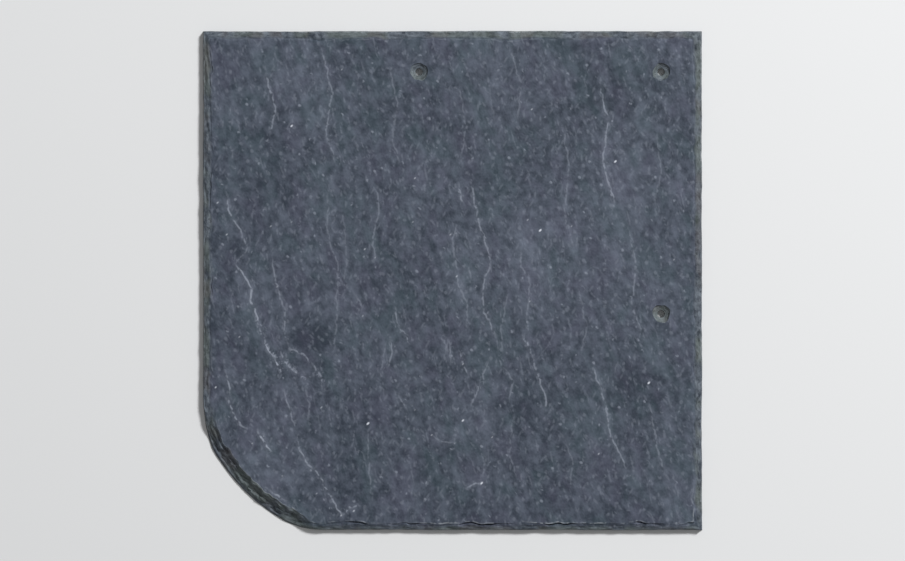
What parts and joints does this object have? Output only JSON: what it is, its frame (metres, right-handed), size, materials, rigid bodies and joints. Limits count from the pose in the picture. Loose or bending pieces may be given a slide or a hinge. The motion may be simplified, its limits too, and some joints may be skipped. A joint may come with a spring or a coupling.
{
  "type": "slate roof tile",
  "caption": "Square single-lap slate roof tile: split stone sheet with a stepped dressed edge, one arc-cut lower corner and punched nail holes in the covered laps.",
  "frame": {"origin": "middle of the flat back face, so the tile lies on z = 0", "axes": "+Z out of the weather face; +Y up the roof slope, towards the head of the tile; +X along the course, towards the side that the next tile covers. The arc-cut corner is at -X, -Y."},
  "size_m": [0.3, 0.3, 0.006],
  "materials": {
    "slate": "matte"
  },
  "bodies": {
    "root": {"slate_tile": "slate"}
  },
  "joints": []
}
